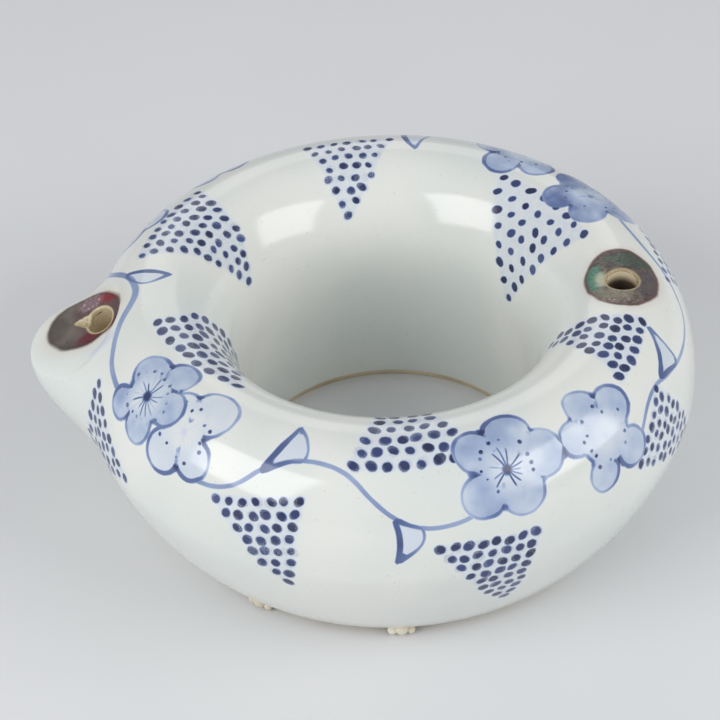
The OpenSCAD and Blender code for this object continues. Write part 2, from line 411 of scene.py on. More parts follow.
def smooth_line(stops, closed=False):
    p = np.array(stops, float)
    before = p[-1:] if closed else 2 * p[:1] - p[1:2]
    after = p[:2] if closed else 2 * p[-1:] - p[-2:-1]
    q = np.concatenate([before, p, after])
    t = np.linspace(0, 1, 14, endpoint=False)[:, None]
    legs = []
    for a, b, c, d in zip(q, q[1:], q[2:], q[3:]):
        bend = (2 * a - 5 * b + 4 * c - d) * t ** 2 + (3 * b - a - 3 * c + d) * t ** 3
        legs.append(0.5 * (2 * b + (c - a) * t + bend))
    return np.concatenate(legs if closed else legs + [p[-1:]])

def beside_leg(a, b):
    x, y = beside(*a)
    r_here = np.interp(-a[1], -section_arc, section[:, 0])
    step = np.array([math.radians(b[0] - a[0]) * r_here, b[1] - a[1]])
    size = math.hypot(*step)
    along = (x * step[0] + y * step[1]) / size
    off = (x * step[1] - y * step[0]) / size
    return along, off, np.hypot(off, np.maximum(along - size, 0) + np.maximum(-along, 0))

print("painting on", len(turn), "points of the skin")

# %% [markdown]
# A blossom is four or five round petals, each brushed as a ring with a pale wash in it. Only
# their outer edge is drawn, which is exactly the edge of their union, so one distance to the
# union is enough. Each petal is its turn, its walk from the crest and its size. Some blossoms
# lie behind others, so there are two layers.

# %% Blossoms
BLOSSOM_R = 48
FAR = 4.0

def blossom(centre, core, wash, *petals):
    return {"centre": centre, "petals": petals, "core": core, "wash": wash}

def round_blossom(turn_at, arc_at, size, lean, core):
    deg = math.degrees(1 / BLOSSOM_R)
    turns = [math.radians(lean + 72 * i) for i in range(5)]
    petals = [(turn_at + deg * size * 0.62 * math.cos(t), arc_at + size * 0.62 * math.sin(t), size * 0.43)
              for t in turns]
    return blossom((turn_at, arc_at), core, 0.9, *petals)

front_blossoms = [
    blossom((212.0, 8.0), 0.95, 1.5,
            (208.0, 5.0, 3.6), (214.5, 1.5, 3.0), (218.2, 7.1, 3.2), (213.5, 13.0, 3.1), (206.7, 12.3, 2.9)),
    blossom((290.6, 9.3), 1.0, 1.6,
            (285.5, 5.2, 3.6), (293.2, 3.8, 3.9), (298.3, 8.7, 4.0), (292.6, 13.7, 3.8), (285.4, 12.6, 3.8)),
    blossom((312.5, 11.4), 0.16, 1.35,
            (306.2, 9.2, 3.0), (311.2, 5.2, 3.1), (317.7, 8.0, 3.4), (317.6, 16.2, 3.4), (309.7, 17.2, 3.1)),
    blossom((30.5, 3.6), 0.5, 2.7,
            (34.7, -1.3, 3.0), (25.2, 0.2, 3.3), (38.4, 4.9, 3.0), (31.5, 9.2, 3.1), (23.6, 6.8, 3.1)),
    round_blossom(129, 12.8, 8.4, 20, 0.9),
]
back_blossoms = [
    blossom((224.6, 8.6), 0.14, 0.6,
            (221.6, 5.4, 3.0), (228.2, 3.6, 4.3), (228.8, 12.0, 3.5), (221.9, 13.4, 3.8)),
    blossom((54.0, 6.4), 0.4, 1.7,
            (48.3, 3.0, 3.3), (56.2, 0.5, 3.4), (61.6, 6.2, 3.4), (57.0, 12.2, 3.4), (49.0, 11.4, 3.4)),
    round_blossom(151, 12.8, 7.6, 50, 0.3),
]

def keep_blossoms(name, flowers):
    edge, next_edge, heart = (np.full(len(turn), FAR) for _ in range(3))
    best = np.full(len(turn), 1e9)
    u, v, core, wash = (np.zeros(len(turn)) for _ in range(4))
    for flower in flowers:
        for t, a, size in flower["petals"]:
            x, y = beside(t, a)
            gap = np.hypot(x, y) - size
            next_edge = np.minimum(np.maximum(gap, edge), next_edge)
            edge = np.minimum(edge, gap)
        turn_at, arc_at = flower["centre"]
        x, y = beside(turn_at, arc_at)
        from_centre = np.hypot(x, y)
        reach = [np.hypot(math.radians(t - turn_at) * BLOSSOM_R, a - arc_at) for t, a, _ in flower["petals"]]
        heart = np.minimum(heart, from_centre - 0.84 * np.mean(reach))
        nearer = from_centre < best
        best = np.where(nearer, from_centre, best)
        u, v = np.where(nearer, x, u), np.where(nearer, y, v)
        core, wash = np.where(nearer, flower["core"], core), np.where(nearer, flower["wash"], wash)
    keep_vector(name, u, v, np.minimum(edge, heart))
    keep_vector(name + "_core", core, best, wash)
    keep_vector(name + "_petals", edge, next_edge, heart)

keep_blossoms("front_blossom", front_blossoms)
keep_blossoms("back_blossom", back_blossoms)
print(len(front_blossoms) + len(back_blossoms), "blossoms")

# %% [markdown]
# Stems are single strokes. A stroke is a smooth line through a few points, and the skin
# keeps the signed distance from it, which runs straight through zero and so stays sharp
# between the skin's points, with the distance left to the stroke's ends and its width.

# %% Stems
stems = [
    (0.62, [(157.0, 15.6), (160.5, 15.6), (165.0, 13.4), (168.3, 10.8), (171.4, 7.2), (173.8, 4.9),
            (176.8, 3.5), (180.5, 3.0), (184.5, 4.0), (189.0, 6.4), (193.5, 8.5), (197.5, 10.4),
            (201.5, 11.3), (204.4, 11.6)]),
    (0.38, [(231.0, 15.0), (235.0, 14.4), (239.0, 12.8), (243.5, 9.0), (248.5, 6.6), (252.8, 6.0),
            (257.5, 6.5), (261.0, 8.0), (264.5, 11.0), (268.0, 13.8), (272.0, 15.8), (276.5, 16.5),
            (281.5, 15.8), (284.4, 14.4)]),
    (0.38, [(319.5, 16.6), (324.9, 12.8), (329.9, 11.6), (335.0, 12.6), (340.6, 13.7), (344.8, 14.3),
            (349.8, 14.4), (354.7, 13.8), (359.7, 11.3), (364.5, 8.6), (369.7, 6.3), (376.0, 5.0),
            (380.5, 4.8)]),
    (0.42, [(61.0, 9.5), (67.0, 7.2), (73.0, 5.8), (79.0, 6.2), (85.0, 8.8), (91.0, 12.0), (98.0, 14.6),
            (106.0, 15.0), (113.0, 12.8), (119.5, 11.4)]),
]
nearest, stem_side, stem_end = np.full(len(turn), FAR), np.full(len(turn), FAR), np.full(len(turn), -FAR)
stem_wide = np.full(len(turn), 0.4)
for width, stops_at in stems:
    line = smooth_line(stops_at)
    line_r = np.interp(-line[:, 1], -section_arc, section[:, 0]).mean()
    flat = np.stack([np.radians(line[:, 0]) * line_r, line[:, 1]], 1)
    length = np.concatenate([[0], np.cumsum(np.hypot(*np.diff(flat, axis=0).T))])
    for start, a, b in zip(length, line, line[1:]):
        along, off, gap = beside_leg(a, b)
        hit = gap < nearest
        nearest = np.where(hit, gap, nearest)
        stem_side = np.where(hit, off, stem_side)
        stem_end = np.where(hit, np.minimum(start + along, length[-1] - start - along), stem_end)
        stem_wide = np.where(hit, width, stem_wide)
stem_wide = np.where(nearest > 2.2, -6.0, stem_wide)
keep_vector("stem", stem_side, stem_end, stem_wide)
print(len(stems), "stems")

# %% [markdown]
# A leaf is split down its middle: one edge is a heavy stroke of the brush, the other a light
# one, with a breath of wash between them. Each is a closed line through a few points. A
# point of the skin lies inside the leaf if the line crosses its level an odd number of times
# on one side of it, and then its distance counts as negative.

# %% Leaves
HEAVY_AHEAD, HEAVY_BEHIND = 1, -1
leaves = [
    (HEAVY_BEHIND, [(172.7, 5.4), (172.6, 2.4), (172.8, 0.0), (173.4, -2.6), (173.7, -2.7), (175.6, -1.4),
                    (177.4, 0.6), (177.2, 2.6), (175.2, 4.4)]),
    (HEAVY_BEHIND, [(243.4, 9.2), (245.2, 5.6), (247.0, 2.2), (247.9, 0.1), (248.3, 0.2), (250.2, 1.7),
                    (251.6, 4.2), (251.2, 6.2), (248.5, 6.8), (246.0, 8.0)]),
    (HEAVY_BEHIND, [(269.0, 14.6), (271.5, 15.5), (273.7, 16.3), (273.9, 18.4), (272.6, 20.2), (271.0, 21.4),
                    (269.5, 22.4), (269.1, 22.3), (269.6, 19.6), (269.5, 17.0)]),
    (HEAVY_BEHIND, [(341.9, 5.6), (341.0, 8.0), (340.8, 10.6), (340.4, 13.6), (336.6, 12.7), (332.8, 11.6),
                    (335.8, 10.0), (338.6, 8.0), (341.4, 5.5)]),
    (HEAVY_AHEAD, [(77.2, 6.0), (78.6, 2.8), (79.8, -0.6), (80.2, -0.6), (82.4, 1.4), (83.6, 4.6),
                   (83.2, 7.2), (80.2, 6.4)]),
    (HEAVY_BEHIND, [(104.6, 15.0), (104.8, 17.8), (106.2, 20.4), (108.4, 22.2), (108.8, 22.0), (108.6, 19.0),
                    (109.0, 14.6)]),
    (HEAVY_BEHIND, [(158.6, 15.6), (158.0, 18.0), (159.0, 20.6), (161.0, 22.8), (161.4, 22.7), (161.8, 19.6),
                    (163.0, 15.0)]),
]
leaf_edge, leaf_heavy = np.full(len(turn), FAR), np.zeros(len(turn))
for heavy_side, stops_at in leaves:
    line = smooth_line(stops_at, closed=True)
    middle = line.mean(0)
    best, crossings = np.full(len(turn), 1e9), np.zeros(len(turn), int)
    across = (turn - middle[0] + 180) % 360 - 180 + middle[0]
    for a, b in zip(line, np.roll(line, -1, axis=0)):
        best = np.minimum(best, beside_leg(a, b)[2])
        meets = a[0] + (arc - a[1]) / (b[1] - a[1] + 1e-9) * (b[0] - a[0])
        crossings += ((a[1] > arc) != (b[1] > arc)) & (across < meets)
    x, y = beside(*middle)
    heavy = 0.5 + 0.5 * x * heavy_side / (np.hypot(x, y) + 0.1)
    hit = best < np.abs(leaf_edge)
    leaf_edge = np.where(hit, np.where(crossings % 2, -best, best), leaf_edge)
    leaf_heavy = np.where(hit, heavy, leaf_heavy)
keep_vector("leaf", leaf_edge, leaf_heavy, 0 * leaf_edge)
print(len(leaves), "leaves")

# %% [markdown]
# Between the flowers lie patches of dots, wedges that point into the hole or down the side.
# Each dot is one touch of a loaded brush, so its size, tone and place wander a little. The
# skin keeps where it lies in its wedge, and the wedge's size and the dots' spacing.

# %% Dotted wedges
TO_HOLE, TO_FOOT = -1, 1
ROW = 0.9

def wedge(turn_at, arc_at, dots, rows, pitch, point, tip_shift=0.0, lean=0.0, dot=0.74):
    return {"at": (turn_at, arc_at), "dots": dots, "rows": rows, "pitch": pitch, "point": point,
            "shift": tip_shift, "lean": lean, "dot": dot}

wedges = [
    wedge(34.8, -3.8, 8, 8, 3.3, TO_HOLE, -1.0, 0, 0.78),
    wedge(97.5, 2.2, 7, 8, 2.6, TO_HOLE, 2.0, 0, 0.72),
    wedge(152.8, 3.8, 9, 10, 2.62, TO_HOLE, -1.1, 0, 0.78),
    wedge(208.3, -2.2, 9, 11, 2.75, TO_HOLE, -7.0, 11, 0.96),
    wedge(272.9, 5.6, 8, 9, 2.75, TO_HOLE, 0.0, 2, 0.9),
    wedge(333.2, 4.9, 7, 9, 2.45, TO_HOLE, 2.7, 5.9, 0.86),
    wedge(204.8, 19.7, 8, 9, 2.5, TO_FOOT, 0.0, 33, 0.84),
    wedge(243.8, 14.5, 7, 8, 2.5, TO_FOOT, 2.1, -14, 0.84),
    wedge(285.2, 21.0, 8, 9, 2.38, TO_FOOT, 5.0, 3.4, 0.9),
    wedge(324.0, 16.2, 7, 12, 2.25, TO_FOOT, 3.4, -39.5, 0.74),
    wedge(10.5, 9.8, 7, 9, 2.4, TO_FOOT),
    wedge(52.0, 19.0, 7, 9, 2.4, TO_FOOT),
    wedge(90.0, 17.0, 7, 9, 2.4, TO_FOOT),
    wedge(140.0, 23.0, 7, 9, 2.4, TO_FOOT),
]
dot_u, dot_v, dot_seed = (np.zeros(len(turn)) for _ in range(3))
dot_count, dot_rows, dot_shift, dot_pitch, dot_size = (np.ones(len(turn)) for _ in range(5))
dot_gap = np.full(len(turn), FAR)
for n, w in enumerate(wedges):
    x, y = beside(*w["at"])
    y = y * w["point"]
    lean = math.radians(w["lean"])
    u, v = x * math.cos(lean) + y * math.sin(lean), y * math.cos(lean) - x * math.sin(lean)
    tall = (w["rows"] - 1) * w["pitch"] * ROW
    half = (w["dots"] - 1) / 2 * w["pitch"]
    past_side = np.abs(u - w["shift"] * v / tall) - half * (1 - v / tall)
    away = np.maximum(past_side, np.maximum(-v, v - tall))
    hit = away < dot_gap
    for store, value in ((dot_u, u), (dot_v, v), (dot_gap, away)):
        store[hit] = value[hit]
    for store, value in ((dot_count, w["dots"]), (dot_rows, w["rows"]), (dot_shift, w["shift"]),
                         (dot_pitch, w["pitch"]), (dot_seed, 7.0 * n), (dot_size, w["dot"])):
        store[hit] = value
keep_vector("wedge", dot_u, dot_v, dot_gap)
keep_vector("wedge_size", dot_count, dot_rows, dot_pitch)
keep_vector("wedge_lean", dot_shift, dot_seed, dot_size)
print(len(wedges), "dotted wedges")

# %% [markdown]
# Copper pigment lies a hair proud of the glaze, where it boiled in the kiln. Its two patches
# are copies of the skin's own faces round each hole. Then each sheet gets a thin wall by
# Solidify, so that all three are closed shells, as real layers are. The glaze's inner side
# is never seen, so there its faces are thinned out, except close to the two holes.

# %% Layers with a wall
SKIN_T, COPPER_T = 0.38, 0.2
INWARD, BOTH_WAYS_HALF = -1, -0.5
VENT_PATCH, VENT_PATCH_Y = (6.5, 8.0), 0.8
FACET_PATCH, FACET_PATCH_AT = (8.0, 5.6), (-2.0, -0.2)

def give_wall(piece, thick, offset, thin_inside=False):
    take_up(piece)
    bpy.ops.object.modifier_add(type="SOLIDIFY")
    wall = piece.modifiers[-1]
    wall.thickness = thick * MM
    wall.offset = offset
    wall.use_even_offset = False
    outside = len(piece.data.vertices)
    bpy.ops.object.modifier_apply(modifier=wall.name)
    if thin_inside:
        p = points_of(piece)
        to_vent, to_pour = (np.linalg.norm(p - at, axis=1) for at in (VENT_AT, POUR_AT))
        select_points(piece, (np.arange(len(p)) >= outside) & (np.minimum(to_vent, to_pour) >= 7))
        bpy.ops.mesh.decimate(ratio=0.12)
        bpy.ops.object.mode_set(mode="OBJECT")
    bpy.ops.object.shade_smooth_by_angle(angle=math.radians(50))
    piece.data.calc_loop_triangles()
    print(piece.name, len(piece.data.loop_triangles), "triangles")

def copy_faces(name, mask):
    take_up(skin)
    select_points(skin, mask)
    bpy.ops.mesh.duplicate()
    bpy.ops.mesh.separate(type="SELECTED")
    bpy.ops.object.mode_set(mode="OBJECT")
    layer = [o for o in bpy.context.selected_objects if o != skin][0]
    layer.name = layer.data.name = name
    return layer

def in_oval(x, y, centre, size):
    return np.hypot((x - centre[0]) / size[0], (y - centre[1]) / size[1]) < 0.93

points = points_of(skin)
vent_x, vent_y = (points - VENT_AT) @ VENT_X, (points - VENT_AT) @ VENT_Y
round_vent = in_oval(vent_x, vent_y, (0, VENT_PATCH_Y), VENT_PATCH) & (points[:, 2] > 42)
vent_copper = copy_faces("vent_copper", round_vent)
facet_x, facet_y, facet_z = on_facet(points_of(skin))
round_pour = in_oval(facet_x, facet_y, FACET_PATCH_AT, FACET_PATCH) & (facet_z > -2.4) & (facet_z < 2)
spout_copper = copy_faces("spout_copper", round_pour)
give_wall(skin, SKIN_T, INWARD, thin_inside=True)
give_wall(vent_copper, COPPER_T, BOTH_WAYS_HALF)
give_wall(spout_copper, COPPER_T, BOTH_WAYS_HALF)
for piece, slot, node in ((skin, "glaze", "glaze_coat"),
                          (vent_copper, "copper_pigment", "vent_copper_band"),
                          (spout_copper, "copper_pigment", "spout_copper_patch")):
    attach(piece, "root")
    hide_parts(node)

# %% [markdown]
# The spout's clay is hidden by the glaze all over, but it shows in the pouring hole. It is a
# sphere whose points are pushed out to a surface that lies a little under the blended one,
# so that no edge of clay comes through the glaze where a wet finger rubbed it round.

# %% The spout's clay
CLAY_UNDER, CLAY_MIDDLE, BORE_R, BORE_LONG = 0.75, 5.5, 2.5, 26

def in_spout_clay(p, mid):
    return is_clay(p, spout_distance(p) + CLAY_UNDER, CLAY_UNDER)

clear_selection()
bpy.ops.mesh.primitive_uv_sphere_add(segments=96, ring_count=64, radius=5 * MM)
spout_clay = bpy.context.object
spout_clay.name = "spout_clay"
ray = points_of(spout_clay)
ray /= np.linalg.norm(ray, axis=1)[:, None]
inner, outer = np.zeros(len(ray)), np.full(len(ray), 40.0)
points, _ = slide_out(FACET_AT - CLAY_MIDDLE * FACET_N, ray, inner, outer, in_spout_clay)
set_points(spout_clay, points)
bpy.ops.mesh.primitive_cylinder_add(vertices=64, radius=BORE_R * MM, depth=BORE_LONG * MM)
bore = bpy.context.object
across = Matrix([[axis[i] for axis in (FACET_X, FACET_Y, FACET_N)] for i in range(3)])
bore.matrix_world = Matrix.Translation(Vector(POUR_AT * MM)) @ across.to_4x4()
take_up(spout_clay)
bpy.ops.object.modifier_add(type="BOOLEAN")
drill = spout_clay.modifiers[-1]
drill.operation, drill.solver, drill.object = "DIFFERENCE", "EXACT", bore
bpy.ops.object.modifier_apply(modifier=drill.name)
bpy.ops.object.shade_smooth_by_angle(angle=math.radians(40))
bpy.data.objects.remove(bore)
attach(spout_clay, "root")
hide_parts("spout", "spout_root_slip")
print("spout's clay:", len(spout_clay.data.polygons), "faces")

# %% [markdown]
# Shader maths reads best as sums. One small class stands for a socket that carries a number,
# and adding or multiplying two of them adds the Math node. Colours are mixed by Mix nodes,
# and every other node comes from the one method called node.

# %% Sums on sockets
class Wire:
    def __init__(self, bench, socket):
        self.bench, self.socket = bench, socket
    def math(self, operation, *others, flip=False):
        values = [self, *others]
        if flip:
            values.reverse()
        return self.bench.node("ShaderNodeMath", {"operation": operation}, dict(enumerate(values))).out()
    def __add__(self, other):
        return self.math("ADD", other)
    def __sub__(self, other):
        return self.math("SUBTRACT", other)
    def __mul__(self, other):
        return self.math("MULTIPLY", other)
    def __truediv__(self, other):
        return self.math("DIVIDE", other)
    def __radd__(self, other):
        return self.math("ADD", other)
    def __rmul__(self, other):
        return self.math("MULTIPLY", other)
    def __rsub__(self, other):
        return self.math("SUBTRACT", other, flip=True)
    def __rtruediv__(self, other):
        return self.math("DIVIDE", other, flip=True)
    def __abs__(self):
        return self.math("ABSOLUTE")
    def __round__(self):
        return self.math("ROUND")
    def least(self, other):
        return self.math("MINIMUM", other)
    def most(self, other):
        return self.math("MAXIMUM", other)
    def fade(self, start, end):
        return self.bench.node("ShaderNodeMapRange", {"interpolation_type": "SMOOTHSTEP"},
                               {"Value": self, "From Min": start, "From Max": end}).out("Result")

class Placed:
    def __init__(self, bench, made):
        self.bench, self.made = bench, made
    def out(self, name=0):
        return Wire(self.bench, self.made.outputs[name])

def set_stops(ramp, stops):
    for at, _ in stops[1:-1]:
        ramp.elements.new(at)
    for element, (at, colour) in zip(ramp.elements, stops):
        element.position, element.color = at, (*colour, 1)

MM_IN_M = 1000

class Bench:
    def __init__(self, name):
        self.material = bpy.data.materials.new(name)
        self.material.use_nodes = True
        self.tree = self.material.node_tree
        self.shader = self.tree.nodes["Principled BSDF"]
    def plug(self, value, socket):
        if isinstance(value, Wire):
            self.tree.links.new(value.socket, socket)
        elif isinstance(value, (tuple, list)) and socket.type == "RGBA":
            socket.default_value = (*value[:3], 1)
        else:
            socket.default_value = value
    def node(self, kind, settings, values):
        made = self.tree.nodes.new(kind)
        for key, value in settings.items():
            if key == "stops":
                set_stops(made.color_ramp, value)
            else:
                setattr(made, key, value)
        for key, value in values.items():
            self.plug(value, made.inputs[key])
        return Placed(self, made)
    def stored(self, name):
        return self.node("ShaderNodeAttribute", {"attribute_name": name}, {}).out("Vector")
    def parts(self, vector):
        split = self.node("ShaderNodeSeparateXYZ", {}, {0: vector})
        return [split.out(i) for i in range(3)]
    def join(self, x, y, z):
        return self.node("ShaderNodeCombineXYZ", {}, {0: x, 1: y, 2: z}).out()
    def place(self):
        return self.node("ShaderNodeTexCoord", {}, {}).out("Object")
    def noise(self, where, scale, detail=2.0, rough=0.5):
        values = {"Vector": where, "Scale": scale, "Detail": detail, "Roughness": rough}
        return self.node("ShaderNodeTexNoise", {}, values).out("Fac")
    def chance(self, where):
        made = self.node("ShaderNodeTexWhiteNoise", {"noise_dimensions": "3D"}, {"Vector": where})
        return self.parts(made.out("Color"))
    def dot(self, where, axis, centre):
        off = self.node("ShaderNodeVectorMath", {"operation": "SUBTRACT"}, {0: where, 1: centre}).out()
        values = {0: off, 1: axis}
        return self.node("ShaderNodeVectorMath", {"operation": "DOT_PRODUCT"}, values).out("Value")
    def measure(self, where, centre, *axes):
        return [self.dot(where, tuple(axis * MM_IN_M), tuple(centre * MM)) for axis in axes]
    def mix(self, under, over, share):
        made = self.node("ShaderNodeMix", {"data_type": "RGBA"}, {0: share})
        self.plug(under, made.made.inputs[6])
        self.plug(over, made.made.inputs[7])
        return made.out(2)
    def layers(self, colour, *coats):
        for over, share in coats:
            colour = self.mix(colour, over, share)
        return colour
    def bump(self, strength, distance, height):
        values = {"Strength": strength, "Distance": distance, "Height": height}
        return self.node("ShaderNodeBump", {}, values).out()
    def finish(self, **sockets):
        for key, value in sockets.items():
            self.plug(value, self.shader.inputs[key.replace("_", " ")])
        return self.material

def tint(r, g, b):
    return tuple(((c / 255 + 0.055) / 1.055) ** 2.4 for c in (r, g, b))

def span(x, y):
    return (x * x + y * y).math("SQRT")

# %% [markdown]
# Cobalt under glaze is never one blue. Where the brush was full it is nearly black, where it
# was drawn out it is a soft slate blue, and a thin wash is paler than the sky. So all strokes
# add to one amount of ink, and a ramp turns that amount into a colour, as the kiln does. Each
# kind of stroke has its own function: blossoms, dots, stems and leaves.

# %% Strokes of the brush
RAYS = 17

def angle_fold(bench, x, y, offset):
    angle = bench.node("ShaderNodeMath", {"operation": "ARCTAN2"}, {0: y, 1: x}).out()
    share = angle * (RAYS / (2 * math.pi)) + offset
    which = round(share)
    return share - which, which

def blossom_ink(bench, name, rough, streak):
    x, y, edge = bench.parts(bench.stored(name))
    core, reach, tone = bench.parts(bench.stored(name + "_core"))
    petal, next_petal, _ = bench.parts(bench.stored(name + "_petals"))
    wander = (rough - 0.5) * 0.7
    edge = edge + wander
    inside = edge.fade(0.35, 0.1)
    load = streak.fade(0.3, 0.72)
    between = abs(next_petal + wander)
    pool = (1.0 - between.fade(0.3, 1.1)) * (1.0 - abs(edge).fade(0.4, 1.0))
    line = (1.0 - (abs(edge) - 0.2 * load).fade(0.06, 0.44)) * (0.26 + 0.36 * load + 0.26 * pool)
    hook = (1.0 - between.fade(0.08, 0.4)) * petal.fade(-1.3, -0.3) * (0.2 + 0.26 * load)
    wash = inside * tone * (0.03 + 0.16 * rough + 0.1 * load) * (0.5 + 0.5 * reach.fade(1.5, 6.0))
    ray, which = angle_fold(bench, x, y, reach * 0.1 + 0.2)
    luck = bench.chance(bench.join(which, core, 3.0))
    ray_line = 1.0 - (abs(ray) * reach * (2 * math.pi / RAYS)).fade(0.06, 0.27)
    ray_end = 1.0 - (reach - luck[1] * 2.2).fade(1.8, 2.8)
    rays = ray_line * ray_end * core * (0.34 + 0.4 * luck[0]) * luck[2].fade(0.2, 0.3)
    middle = (1.0 - (reach + wander * 1.6).fade(0.4, 1.4)) * core * 0.9
    spot, which = angle_fold(bench, x, y, 0.0)
    luck = bench.chance(bench.join(which, 5.0, core))
    more = bench.chance(bench.join(which, 9.0, core))
    spot_x = (spot + (luck[0] - 0.5) * 0.5) * (2 * math.pi / RAYS) * 4.6
    spot_y = reach - (3.7 + 1.7 * luck[1])
    spots = 1.0 - (span(spot_x, spot_y) + (rough - 0.5) * 0.4).fade(0.16, 0.5)
    spots = spots * (0.5 + 0.5 * luck[2]) * more[0].fade(0.18, 0.3)
    drawn = line.most(wash).most(rays.most(middle).most(spots).most(hook) * inside)
    return drawn * edge.fade(0.8, 0.5), inside

def wedge_ink(bench, rough):
    u, v, away = bench.parts(bench.stored("wedge"))
    count, rows, pitch = bench.parts(bench.stored("wedge_size"))
    shift, seed, usual = bench.parts(bench.stored("wedge_lean"))
    row = round(v / (pitch * ROW)).most(0.0).least(rows - 1)
    here = round(count * (1.0 - row / rows)).most(1.0)
    parity = ((here - 1) * 0.5).math("FRACT")
    middle = shift * row / (rows - 1)
    cell = round((u - middle) / pitch - parity) + parity
    fits = abs(cell).math("LESS_THAN", here * 0.5)
    luck = bench.chance(bench.join(cell + 0.3, row, seed))
    more = bench.chance(bench.join(row, seed, cell + 0.7))
    x = u - middle - cell * pitch + (luck[0] - 0.5) * 0.7
    y = v - row * pitch * ROW + (luck[1] - 0.5) * 0.6
    stretched = x + y * (more[0] - 0.5) * 0.6
    size = usual + (luck[2] - 0.5) * 0.26
    far = (stretched * stretched * (0.84 + 0.24 * more[1]) + y * y).math("SQRT") + (rough - 0.5) * 0.34
    near_by = away.math("LESS_THAN", 2.6)
    dots = (1.0 - (far - size).fade(-0.2, 0.18)) * fits * (0.7 + 0.3 * more[2]) * near_by
    halo = (1.0 - (far - size).fade(-0.1, 0.6)) * fits * 0.12 * near_by
    wash = (1.0 - (away + (rough - 0.5) * 1.6).fade(0.5, 1.7)) * (0.025 + 0.1 * rough)
    return dots.most(halo).most(wash)

def stem_ink(bench, rough, streak):
    side, end, width = bench.parts(bench.stored("stem"))
    line = 1.0 - (abs(side + (rough - 0.5) * 0.3) - width).fade(-0.12, 0.16)
    return line * end.fade(-0.2, 0.3) * (0.2 + 0.36 * streak)

def leaf_ink(bench, rough, streak):
    leaf, heavy, _ = bench.parts(bench.stored("leaf"))
    leaf = leaf + (rough - 0.5) * 0.3
    line = (1.0 - (abs(leaf + 0.1) - 0.32 * heavy).fade(0.08, 0.4)) * (0.26 + 0.3 * streak + 0.26 * heavy)
    return line.most(leaf.fade(0.0, -0.3) * 0.1)

# %% [markdown]
# Copper was brushed round both holes. In the kiln it turned brown, with green where it was
# thick, red where it stayed thin and starved of air, and pink where it bubbled. Each colour
# is a blob with a ragged edge, placed in the flat measures of the vent or of the facet.

# %% Copper round the holes
def oval_edge(x, y, centre, size, ragged, wander):
    dx, dy = (x - centre[0]) * (1 / size[0]), (y - centre[1]) * (1 / size[1])
    return span(dx, dy) + (ragged - 0.5) * wander

def blob(x, y, at, size, ragged, soft=0.35):
    return 1.0 - oval_edge(x, y, at, size, ragged, 1.1).fade(1.0 - soft, 1.0 + soft)

def blisters(bench, where):
    made = bench.node("ShaderNodeTexVoronoi", {"feature": "F1"}, {"Vector": where, "Scale": 1100.0})
    return 1.0 - made.out("Distance").fade(0.1, 0.5)

def vent_colours(bench, where, ragged, fine, bubbles):
    x, apart, z = bench.measure(where, VENT_AT, VENT_X, VENT_Y, UP)
    y = apart - VENT_PATCH_Y
    edge = oval_edge(x, y, (0, 0), VENT_PATCH, ragged, 0.14)
    mouth = span(x, apart)
    colour = bench.layers(
        bench.mix(tint(100, 92, 84), tint(66, 56, 54), fine.fade(0.38, 0.62)),
        (tint(84, 74, 78), blob(x, y, (3.8, -1.6), (3.2, 3.6), ragged) * 0.7),
        (tint(58, 76, 64), blob(x, y, (1.6, 5.0), (4.4, 2.0), fine) * 0.8),
        (tint(72, 124, 104), blob(x, y, (-4.9, 0.4), (1.5, 3.4), fine) * 0.95),
        (tint(122, 118, 96), blob(x, y, (-1.8, -4.4), (4.2, 1.5), fine) * 0.75),
        (tint(162, 142, 130), blob(x, y, (-1.4, -6.0), (4.6, 1.2), fine) * (0.2 + 0.7 * bubbles)),
        (tint(190, 190, 160), blob(x, y, (-3.5, -0.4), (1.1, 1.9), fine, 0.6) * 0.8),
        (tint(98, 62, 60), edge.fade(0.86, 0.96) * 0.7),
        (tint(176, 158, 122), mouth.fade(3.5, 3.0) * 0.85),
        # Painted shade: the clay in the vent's mouth is made darker deeper down.
        (tint(120, 100, 72), z.fade(-0.3, -0.9) * mouth.fade(3.4, 3.1)))
    held = z.fade(-12.0, -8.0)
    return colour, (1.0 - edge.fade(0.96, 1.04)) * held, (1.0 - edge.fade(0.9, 1.25)) * held

def facet_colours(bench, where, ragged, fine, bubbles):
    x, y, z = bench.measure(where, FACET_AT, FACET_X, FACET_Y, FACET_N)
    edge = oval_edge(x, y, FACET_PATCH_AT, FACET_PATCH, ragged, 0.16)
    run = ((GROOVE_START - x) * (1 / GROOVE_LONG)).most(0.0).least(1.0)
    half = 2.1 * (1.0 - run).math("POWER", 0.75) + 0.05
    groove = (1.0 - (abs(y + 1.3 + 0.3 * x) / half).fade(0.8, 1.15)) * x.fade(1.6, 1.0) * x.fade(-4.6, -4.0)
    groove_clay = bench.mix(tint(190, 176, 138), tint(150, 130, 100), fine.fade(0.4, 0.7))
    mouth = span(x - POUR_X, y - POUR_Y)
    colour = bench.layers(
        bench.mix(tint(86, 78, 72), tint(116, 108, 98), ragged.fade(0.35, 0.7)),
        (tint(92, 66, 68), x.fade(-6.0, -1.5) * 0.8),
        (tint(98, 32, 38), blob(x, y, (1.4, -4.2), (5.0, 1.7), ragged) * 0.95),
        (tint(132, 30, 40), blob(x, y, (3.4, 3.2), (2.4, 1.7), fine) * 0.95),
        (tint(186, 160, 168), blob(x, y, (-0.6, 3.2), (2.4, 1.8), fine) * (0.25 + 0.7 * bubbles)),
        (tint(120, 84, 74), x.fade(4.4, 5.4) * 0.7),
        (tint(72, 58, 52), edge.fade(0.78, 0.98) * 0.5),
        (groove_clay, groove * 0.95),
        (tint(196, 182, 146), mouth.fade(3.15, 2.75)))
    held = z.fade(-2.4, -1.8)
    return colour, (1.0 - edge.fade(0.93, 1.07)) * held, (1.0 - edge.fade(0.9, 1.4)) * held

